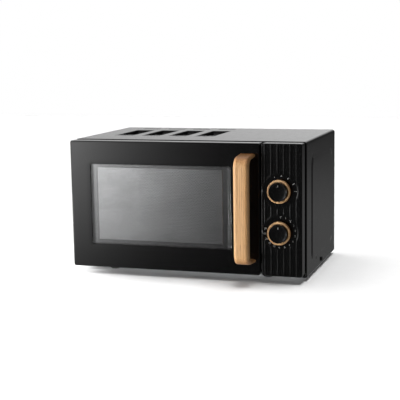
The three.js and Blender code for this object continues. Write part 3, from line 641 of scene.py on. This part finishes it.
def case_depths():
    """Places from the case's front to its back of its grid lines."""
    marks = [CASE.front + ROLL.side, CASE.back - CASE.sheet, CASE.back]
    marks += both_walls(FIELD.near, FIELD.far, FIELD.wall) + steps_at(POCKET.near, 2, 2)
    marks += both_walls(POCKET.ramp, POCKET.far, POCKET.drop, 5)
    marks += both_walls(GROOVE.near, GROOVE.far, GROOVE.wall)
    for y, _ in DIMPLES:
        marks += steps_at(y - DIMPLE.grid, 2 * DIMPLE.grid, 6)
    return lines_between(marks, 7.0)


def outer_case():
    depths = case_depths()
    section = case_section()
    verts, faces = [], []
    for kind, x, z, nx, nz in section:
        places = rolled_edge(CASE.front, CASE.lip, nx)
        places += [(y, case_relief(kind, x, y, z)) for y in depths]
        verts += [at(x + nx * out, y, z + nz * out) for y, out in places]
    count = len(places)
    for row in range(len(section) - 1):
        for i in range(count - 1):
            a = row * count + i
            faces.append((a, a + count, a + count + 1, a + 1))
    shell = piece("case_shell", verts, faces, "case_black", "chassis", ["outer_case"], 50.0)
    thicken(shell, CASE.sheet)


# ---------- door


def door_back_x(x, depth):
    """The left wall keeps clear of the case as the door turns about its pins."""
    behind = depth - HINGE.y
    if behind <= 0:
        return x
    return max(x, HINGE.x - math.sqrt(max(0.0, HINGE.clear ** 2 - behind**2)))


def door_lines(length, low, high, extra=()):
    """Grid lines along the door's width or height, whose window runs from low to high."""
    edge = fillet_lines(DOOR.fillet) + [DOOR.corner * f for f in (0.5, 0.75, 1.0)]
    inner = fillet_lines(WINDOW.fillet, 3)
    marks = edge + [length - d for d in edge] + [low - d for d in inner] + [high + d for d in inner]
    return lines_between(marks + list(extra), 12.0)


def door_bezel():
    width, height, fillet = DOOR.width, DOOR.height, DOOR.fillet
    notches = [z for pair in HINGE.notches for z in pair]
    xs = door_lines(width, WINDOW.left, WINDOW.right)
    zs = door_lines(height, WINDOW.low, WINDOW.high, notches)

    def surface(x, z):
        rim = min(x, width - x, z, height - z)
        opening = max(WINDOW.left - x, x - WINDOW.right, WINDOW.low - z, z - WINDOW.high)
        return fillet_drop(rim, fillet) + fillet_drop(max(0.0, opening), WINDOW.fillet)

    def keep(x, z):
        return not (WINDOW.left < x < WINDOW.right and WINDOW.low < z < WINDOW.high)

    skirt = [3.0, HINGE.notch_front, 10.0, HINGE.y, 20.0, 22.0, 24.0, 25.0, 26.0, 27.0, DOOR.depth]
    verts, faces = plate(xs, zs, 0.0, DOOR.corner, surface, keep, skirt, door_back_x)
    faces = [f for f in faces if not in_notch([verts[i] for i in f])]
    faces += window_reveal(verts, xs, zs)
    shell = piece("door_bezel", verts, faces, "door_black", "door", ["door_frame"])
    thicken(shell, DOOR.wall)


def in_notch(corners):
    """True for the part of the left wall that the hinge arms come through when the door is open."""
    middle = sum(corners, Vector()) / len(corners)
    if middle.x > at(HINGE.notch_side, 0, 0).x or middle.y < at(0, HINGE.notch_front, 0).y:
        return False
    return any(at(0, 0, low).z < middle.z < at(0, 0, high).z for low, high in HINGE.notches)


def window_reveal(verts, xs, zs):
    """The short walls that go back from the edge of the window opening."""
    columns = len(xs)
    i0, i1 = xs.index(WINDOW.left), xs.index(WINDOW.right)
    j0, j1 = zs.index(WINDOW.low), zs.index(WINDOW.high)
    ring = [j * columns + i for i, j in grid_rim(i0, i1, j0, j1)]
    faces = []
    for depth in (2.0, 3.4):
        row = []
        for k in ring:
            row.append(len(verts))
            verts.append(Vector((verts[k].x, at(0, depth, 0).y, verts[k].z)))
        faces += band(row, ring)
        ring = row
    return faces


def screen_zone(y):
    """The perforated part of the screen: a hexagonal hole in every cell of a staggered grid."""
    zone = MESH_ZONE
    pitch = zone.pitch
    rise = pitch * math.sqrt(3) / 2
    columns = round((zone.right - zone.left) / pitch)
    rows = round((zone.high - zone.low) / rise)
    step_x = (zone.right - zone.left) / columns
    step_z = (zone.high - zone.low) / rows
    verts, faces, known = [], [], {}

    def corner(x, z):
        key = (round(x, 3), round(z, 3))
        if key not in known:
            known[key] = len(verts)
            verts.append(at(x, y, z))
        return known[key]

    for row in range(rows):
        low = zone.low + row * step_z
        high = low + step_z
        shift = 0.5 * step_x if row % 2 else 0.0
        for column in range(columns - (row % 2)):
            x0 = zone.left + column * step_x + shift
            x1, cx, cz = x0 + step_x, x0 + step_x / 2, low + step_z / 2
            outer = [corner(x0, low), corner(cx, low), corner(x1, low)]
            outer += [corner(x1, high), corner(cx, high), corner(x0, high)]
            hole = []
            for k in range(6):
                angle = math.radians(210 + 60 * k)
                hole.append(corner(cx + zone.hole * math.cos(angle), cz + zone.hole * math.sin(angle)))
            faces += [(outer[k], outer[(k + 1) % 6], hole[(k + 1) % 6], hole[k]) for k in range(6)]
        if row % 2:
            for x0, x1 in ((zone.left, zone.left + shift), (zone.right - shift, zone.right)):
                faces.append((corner(x0, low), corner(x1, low), corner(x1, high), corner(x0, high)))
    return verts, faces


def door_screen():
    verts, faces = screen_zone(SCREEN.face)
    mesh = piece("screen_mesh", verts, faces, "mesh_metal", "door")
    mesh.data.shade_flat()
    thicken(mesh, SCREEN.mesh)
    screen_frame()


def oblong_ring(box, depth, across=0.0, down=0.0):
    """The corners of an upright oblong, (left, low, right, high), drawn in by across and down."""
    left, low, right, high = box[0] + across, box[1] + down, box[2] - across, box[3] - down
    return [at(left, depth, low), at(right, depth, low), at(right, depth, high), at(left, depth, high)]


def screen_frame():
    """The screen round its perforated part: a wall, a flat, a sunk border and the edge of the mesh."""
    face, bend, sunk = SCREEN.face, SCREEN.bend, SCREEN.face + BORDER.sunk
    low, high = span("door_screen")
    whole = (low[0], low[2], high[0], high[2])
    zone = (MESH_ZONE.left, MESH_ZONE.low, MESH_ZONE.right, MESH_ZONE.high)
    verts = oblong_ring(whole, SCREEN.flange) + oblong_ring(whole, face + bend)
    verts += oblong_ring(whole, face, bend, bend) + oblong_ring(BORDER.box, face)
    verts += oblong_ring(BORDER.box, sunk, BORDER.side_wall, BORDER.level_wall)
    verts += oblong_ring(zone, sunk, -BORDER.inner_wall, -BORDER.inner_wall) + oblong_ring(zone, face)
    faces = []
    for first in range(0, len(verts) - 4, 4):
        faces += band(range(first + 4, first + 8), range(first, first + 4))
    rim = piece("screen_frame", verts, faces, "screen_rim", "door", ["door_screen"], 20.0)
    thicken(rim, SCREEN.sheet, 1.0)
    soften(rim, 0.5)


def soften(obj, width):
    """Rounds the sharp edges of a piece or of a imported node, without touching its own mesh."""
    bevel = obj.modifiers.new("edges", "BEVEL")
    bevel.width = width * MM
    bevel.segments = 2
    bevel.limit_method = "ANGLE"
    bevel.angle_limit = math.radians(30.0)


def bent_line(corners):
    """Points from a foot of the bow, straight to its knee and round into the bar."""
    start, knee, tip, end = (Vector(c) for c in corners)
    control = Vector((tip.x, knee.y + (tip.y - knee.y) * 0.25))
    after = tip.lerp(end, 0.75)
    points = [start.lerp(knee, i / 4) for i in range(4)]
    for i in range(15):
        t = i / 14
        points.append(knee * (1 - t) ** 2 + control * 2 * t * (1 - t) + after * t * t)
    return points + [end]


def half_bow(foot, sign):
    """(outer, inner) places, as (y, z), from one foot to where the bar is straight."""
    lines = []
    for start, knee, lean, turn, thick in (HANDLE.outer, HANDLE.inner):
        front = thick - HANDLE.reach
        corners = [(-HANDLE.seat, foot + sign * start), (front + knee, foot + sign * lean)]
        corners += [(front, foot + sign * turn), (front, foot + sign * HANDLE.straight)]
        lines.append(bent_line(corners))
    return list(zip(*lines))


def oblong_section():
    """A rounded oblong: the signs of each point's corner and its direction from that corner's centre."""
    section = []
    for cx, cy, start in ((1, 1, 0), (-1, 1, 90), (-1, -1, 180), (1, -1, 270)):
        for k in range(7):
            angle = math.radians(start + 15 * k)
            section.append((cx, cy, math.cos(angle), math.sin(angle)))
    return section


def handle():
    """The bow: a rounded oblong section carried along the space between its outer and inner outlines."""
    across, centre_x = (HANDLE.right - HANDLE.left) / 2, (HANDLE.left + HANDLE.right) / 2
    lower, upper = half_bow(HANDLE.low, 1), half_bow(HANDLE.high, -1)
    middle = [tuple(a.lerp(b, i / 16) for a, b in zip(lower[-1], upper[-1])) for i in range(1, 16)]
    stations = lower + middle + upper[::-1]
    section = oblong_section()
    verts, faces = [], []
    for outer, inner in stations:
        centre, thick = (outer + inner) / 2, (outer - inner).length / 2
        out = (outer - inner).normalized()
        r = min(HANDLE.round, thick * 0.96)
        for cx, cy, c, s in section:
            point = centre + out * (cy * (thick - r) + s * r)
            verts.append(at(centre_x + cx * (across - r) + c * r, point.x, point.y))
    ring = len(section)
    rows = [range(first, first + ring) for first in range(0, len(verts), ring)]
    for near, far in zip(rows, rows[1:]):
        faces += band(near, far)
    faces += [tuple(rows[0]), tuple(reversed(rows[-1]))]
    piece("bow_handle", verts, faces, "oak_handle", "door", ["door_handle"], 50.0)


# ---------- control panel and dials


def rib_depth(x):
    """How far the fluted face lies behind the crests, at x."""
    nearest = min(abs(x - RIBS.first - i * RIBS.pitch) for i in range(RIBS.count))
    if x > RIBS.strip:
        return 0.0
    groove = smooth_step(nearest, RIBS.crest, RIBS.half)
    return RIBS.depth * groove * smooth_step(RIBS.strip - x, 0.0, RIBS.half - RIBS.crest)


def panel_columns(left, width, edge):
    """Grid lines across the panel, close together on the walls of the ribs."""
    wall = RIBS.half - RIBS.crest
    marks = edge + [width - d for d in edge]
    for i in range(RIBS.count):
        middle = RIBS.first + i * RIBS.pitch - left
        steps = steps_at(RIBS.crest, wall, 5)
        marks += [middle - d for d in steps] + [middle + d for d in steps]
    marks += steps_at(RIBS.strip - left - wall, wall, 5)
    return lines_between([x for x in marks if 0 <= x <= width], 0.9)


def panel_drop(x, z):
    """How far the panel's face lies back at a place: grooves, except on the flat pads round the dials."""
    drop = rib_depth(x)
    for dial_z in DIALS.values():
        apart = math.hypot(x - DIAL_X, z - dial_z)
        pad = 1 - smooth_step(apart, PAD.radius - PAD.inside, PAD.radius + PAD.outside)
        drop = drop * (1 - pad) + PAD.sunk * pad
    return drop


def control_panel():
    left, width, height = PANEL.left, PANEL.right - PANEL.left, PANEL.height
    fillet, corner = PANEL.fillet, PANEL.corner
    edge = fillet_lines(fillet) + [corner]
    xs = panel_columns(left, width, edge)
    zs = lines_between(edge + [height - d for d in edge], 1.0)

    def surface(x, z):
        return panel_drop(left + x, z) + fillet_drop(min(x, width - x, z, height - z), fillet)

    skirt, covers = [4.0, 10.0, 20.0, PANEL.depth], ["control_panel"]
    verts, faces = plate(xs, zs, left, corner, surface, lambda x, z: True, skirt, lambda x, depth: x)
    shell = piece("panel_front", verts, faces, "panel_black", "chassis", covers, 60.0)
    thicken(shell, PANEL.wall)


def dial(prefix, z):
    """A black cap with a dished face and a wooden ring round it, on one body, with a pointer in the face."""
    body = prefix + "_dial"
    centre = at(DIAL_X, 0, z)
    skirt, side = DIAL.skirt, DIAL.cap
    cap = [(0, 0.6), (skirt, 0.6), (skirt, 4.0), (side, 4.0), (side, 16.2), (17.0, 16.6), (16.6, 16.8)]
    cap += [(16.1, 16.75), (15.2, 16.45), (14.2, 16.15), (13.0, 16.0), (6.0, 15.9), (0, 15.9)]
    lathe(prefix + "_cap", cap, centre, "panel_black", body, [prefix + "_knob_cap"])
    bore, ring, low, high = DIAL.bore, DIAL.ring, DIAL.ring_low, DIAL.ring_high
    wood = rounded([(bore, low), (ring, low), (ring, high), (bore, high)], 2.0, 8)
    covers = [prefix + "_knob_ring"]
    lathe(prefix + "_ring", wood, centre, "oak_dial", body, covers, closed=True)
    pointer = [(-0.45, 9.0), (0.45, 9.0), (0.45, 12.2), (-0.45, 12.2)]
    flat_mark(prefix + "_pointer", [pointer], centre + Vector((0, -16.45 * MM, 0)), body)


def flat_mark(name, outlines, origin, body, depth=0.25):
    """Printed or inlaid marks: outlines in x and z, in millimetres from origin, with a little depth."""
    verts, faces = [], []
    for outline in outlines:
        count, first = len(outline), len(verts)
        for back in (0.0, depth):
            verts += [origin + Vector((x * MM, back * MM, z * MM)) for x, z in outline]
        front, rear = range(first, first + count), range(first + count, first + 2 * count)
        faces += [tuple(front), tuple(reversed(rear))] + band(front, rear)
    piece(name, verts, faces, "ink", body)


def numeral(text):
    """The mesh of a number, lying flat about its own middle."""
    curve = bpy.data.curves.new("numeral", "FONT")
    curve.body = text
    curve.size = TIMER_SCALE.size * MM
    curve.align_x = curve.align_y = "CENTER"
    curve.resolution_u = 3
    curve.extrude = TIMER_SCALE.half_depth * MM
    holder = in_scene("numeral", curve)
    bpy.context.view_layer.update()
    mesh = bpy.data.meshes.new_from_object(holder)
    bpy.data.objects.remove(holder)
    return mesh


def timer_scale():
    """The minutes round the timer's dial."""
    upright = Matrix.Rotation(math.radians(90), 4, "X")
    step = math.radians(TIMER_SCALE.sweep) / (len(MINUTES) - 1)
    verts, faces = [], []
    for i, minute in enumerate(MINUTES):
        angle = math.radians(TIMER_SCALE.start) - i * step
        x, z = TIMER_SCALE.radius * math.cos(angle), TIMER_SCALE.radius * math.sin(angle)
        spot = at(DIAL_X + x, TIMER_SCALE.back, DIALS["timer"] + z)
        mesh = numeral(str(minute))
        first = len(verts)
        verts += [spot + (upright @ v.co) for v in mesh.vertices]
        faces += [tuple(first + v for v in p.vertices) for p in mesh.polygons]
    piece("timer_scale", verts, faces, "ink", "chassis")


def power_scale():
    """Bars round the other dial that grow with the power."""
    bars = []
    for i in range(POWER_SCALE.count):
        angle = math.radians(POWER_SCALE.start - i * POWER_SCALE.step)
        out = Vector((math.cos(angle), math.sin(angle)))
        near, far = out * POWER_SCALE.near, out * (POWER_SCALE.far + POWER_SCALE.growth * i)
        wide = Vector((-out.y, out.x)) * POWER_SCALE.half
        bars.append([tuple(far - wide), tuple(far + wide), tuple(near + wide), tuple(near - wide)])
    flat_mark("power_scale", bars, at(DIAL_X, 0.05, DIALS["power"]), "chassis", 0.2)


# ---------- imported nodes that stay

KEPT = {
    "satin_black": "choke_cover cord_gland case_screw_left case_screw_right",
    "zinc": "rear_panel base_plate hinge_upper hinge_lower waveguide fan_motor turntable_motor",
    "zinc_lines": "handle_screw_lower handle_screw_upper latch_spring",
    "rubber": "foot_front_left foot_front_right foot_rear_left foot_rear_right",
    "cavity": "cavity_liner",
    "pane": "door_window",
    "film": "door_inner_film",
    "tray": "glass_turntable",
    "white_plastic": "turntable_shaft drive_coupler roller_ring roller_1 roller_2 roller_3 power_shaft"
    " timer_shaft timer_unit interlock_bracket fan_blade",
    "grey_plastic": "latch_hook interlock_lever fan_shroud",
    "switch_black": "primary_switch monitor_switch secondary_switch high_voltage_diode thermal_cutout",
    "chrome": "timer_bell",
    "aluminium": "magnetron capacitor",
    "mica": "mica_cover",
    "core": "transformer_core",
    "copper": "transformer_primary",
    "taped": "transformer_secondary",
    "board": "filter_board",
    "bulb": "line_fuse oven_lamp",
}
EDGE = dict(cavity_liner=0.9, choke_cover=0.6, rear_panel=0.3, base_plate=0.3, door_window=0.3)
EDGE.update(door_inner_film=0.15, latch_spring=0.1, mica_cover=0.15, glass_turntable=0.5)
USUAL_EDGE = 0.35


def dress_kept_nodes():
    for look, names in KEPT.items():
        for name in names.split():
            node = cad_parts[name]
            node.data.materials.clear()
            node.data.materials.append(LOOKS[look])
            for polygon in node.data.polygons:
                polygon.material_index = 0
                polygon.use_smooth = True
            weld = node.modifiers.new("weld", "WELD")
            weld.merge_threshold = 0.01 * MM
            flat = node.modifiers.new("flat", "DECIMATE")
            flat.decimate_type = "DISSOLVE"
            flat.angle_limit = math.radians(1.0)
            soften(node, EDGE.get(name, USUAL_EDGE))
            even_shading(node)


# ---------- studio


def camera():
    """The view from the right and a little above, through a long lens."""
    yaw, pitch, roll = (math.radians(turn) for turn in (CAMERA.yaw, CAMERA.pitch, CAMERA.roll))
    back = Vector((math.sin(yaw) * math.cos(pitch), -math.cos(yaw) * math.cos(pitch), math.sin(pitch)))
    right = (-back).cross(Vector((0, 0, 1))).normalized()
    up = right.cross(-back)
    across = math.cos(roll) * right + math.sin(roll) * up
    upright = math.cos(roll) * up - math.sin(roll) * right
    data = bpy.data.cameras.new("camera")
    data.sensor_width = CAMERA.sensor
    data.lens = CAMERA.lens
    data.shift_x, data.shift_y = CAMERA.shift
    data.clip_end = CAMERA.far
    obj = in_scene("camera", data)
    turn = Matrix((across, upright, back)).transposed()
    obj.matrix_world = Matrix.Translation(at(*CAMERA.place)) @ turn.to_4x4()
    bpy.context.scene.camera = obj


def floor():
    """A sheet of white paper under the oven, with lamps that light nothing else."""
    mesh = bpy.data.meshes.new("floor")
    signs = ((-1, -1), (1, -1), (1, 1), (-1, 1))
    mesh.from_pydata([(x * FLOOR_REACH, y * FLOOR_REACH, FLOOR_Z) for x, y in signs], [], [(0, 1, 2, 3)])
    obj = in_scene("floor", mesh)
    mesh.materials.append(moulded("floor_paper", (0.86, 0.86, 0.86), 0.9, 0.01, 300.0, 0.02))
    obj.visible_glossy = obj.visible_transmission = obj.visible_diffuse = False
    lit = bpy.data.collections.new("floor_lit")
    lit.objects.link(obj)
    for name, direction, spread, strength in FLOOR_SUNS:
        sun = bpy.data.lights.new(name, "SUN")
        sun.angle = math.radians(spread)
        sun.energy = strength
        floor_light(sun, lit).rotation_euler = Vector(direction).to_track_quat("Z", "Y").to_euler()
    low = bpy.data.lights.new("low", "POINT")
    low.shadow_soft_size = LOW_LAMP.radius
    low.energy = LOW_LAMP.power
    floor_light(low, lit).location = at(*LOW_LAMP.place)


def floor_light(data, receivers):
    """A lamp for the floor only, which the oven shades."""
    obj = in_scene(data.name, data)
    obj.visible_camera = obj.visible_glossy = False
    obj.light_linking.receiver_collection = receivers
    return obj


class Sky(Nodes):
    """The world, as sums and products of ramps."""

    def ramp(self, value, start, end, low, high, kind="SMOOTHSTEP"):
        values = {0: value, 1: start, 2: end, 3: low, 4: high}
        return self.add("MapRange", values, interpolation_type=kind).outputs[0]

    def patch(self, *ramps):
        """A part of the sky: the product of ramps, of which each is (value, start, end, low, high)."""
        result = self.ramp(*ramps[0])
        for values in ramps[1:]:
            result = self.math("MULTIPLY", result, self.ramp(*values))
        return result

    def total(self, first, *others):
        for other in others:
            first = self.math("ADD", first, other)
        return first


def front_light(sky, x, z):
    """What a surface that faces forwards mirrors: a big soft box at the left and two smaller ones."""
    box = sky.math("POWER", sky.ramp(x, -0.18, -0.45, 0.0, 1.0, "LINEAR"), 4.2)
    box = sky.math("MULTIPLY", box, sky.ramp(z, -0.235, -0.07, 0.08, 1.08, "LINEAR"))
    box = sky.math("MULTIPLY", box, sky.patch((x, -0.44, -0.50, 5.0, 0.06), (z, -0.03, 0.05, 1.0, 0.1)))
    level = ((z, -0.205, -0.185, 0.06, 1.0), (z, -0.15, -0.135, 1.0, 0.0))
    strip = sky.patch((x, -0.6, -0.75, 0.0, 7.0), *level)
    upper = sky.patch((x, -0.5, -0.7, 0.0, 1.0), (z, 0.02, 0.16, 0.0, 3.0), (z, 0.35, 0.5, 1.0, 0.2))
    return sky.total(box, strip, upper, 0.07)


def back_light(sky, x, z):
    """What the top and the right side mirror: white behind the oven, dim towards the right."""
    rise, fall = (x, -0.36, -0.18, 1.0, 1.2), (x, -0.06, 0.13, 1.0, 0.065)
    horizon = sky.patch((x, -0.75, -0.4, 0.42, 0.66), rise, fall)
    right_side = sky.patch((x, 0.1, 0.2, 0.0, 1.0), (z, -0.17, -0.07, 0.125, 0.0))
    return sky.total(horizon, right_side, sky.ramp(x, 0.45, 0.8, 0.0, 0.3))


def mirrored_light(sky, x, y, z):
    """Everything that glossy and clear surfaces see round the oven."""
    behind = sky.ramp(y, -0.15, 0.25, 0.0, 1.0)
    front = sky.math("MULTIPLY", front_light(sky, x, z), sky.math("SUBTRACT", 1.0, behind))
    back = sky.math("MULTIPLY", back_light(sky, x, z), behind)
    above = sky.patch((z, 0.25, 0.75, 0.0, 0.9), (x, -0.1, 0.4, 1.0, 0.12), (y, -0.4, 0.0, 0.1, 1.0))
    below = sky.patch((z, -0.35, -0.8, 0.0, 0.8), (x, -0.2, 0.2, 0.1, 1.0))
    return sky.total(front, back, above, below)


def cast_light(sky, x, y, z):
    """What lights the matt surfaces: mostly a box at the left, at the oven's own height."""
    upright = ((z, -0.35, -0.1, 0.0, 1.0), (z, 0.1, 0.3, 1.0, 0.0))
    side = sky.patch((x, -0.1, -0.7, 0.0, 14.0), *upright, (y, -0.2, 0.1, 1.0, 0.0))
    return sky.total(sky.ramp(z, -0.5, 0.6, 0.25, 0.10), side)


def studio_world():
    """White to the eye, and to the surfaces a studio."""
    world = bpy.data.worlds.new("studio")
    bpy.context.scene.world = world
    sky = Sky(world)
    direction = sky.add("TexCoord").outputs["Generated"]
    x, y, z = sky.add("SeparateXYZ", {0: direction}).outputs
    path = sky.add("LightPath").outputs
    strengths = mirrored_light(sky, x, y, z), cast_light(sky, x, y, z), 1.0
    lights = [sky.add("Background", {0: (1, 1, 1), 1: strength}).outputs[0] for strength in strengths]
    mirrored, cast, white = lights
    around = sky.add("MixShader", {0: path["Is Diffuse Ray"], 1: mirrored, 2: cast}).outputs[0]
    shown = sky.add("MixShader", {0: path["Is Camera Ray"], 1: around, 2: white}).outputs[0]
    sky.add("OutputWorld", {"Surface": shown})


# ---------- assembly

bpy.context.scene.view_settings.view_transform = "Standard"
camera()
floor()
studio_world()
outer_case()
door_bezel()
door_screen()
handle()
control_panel()
for dial_name, dial_z in DIALS.items():
    dial(dial_name, dial_z)
timer_scale()
power_scale()
dress_kept_nodes()
for made in PIECES:
    even_shading(made)
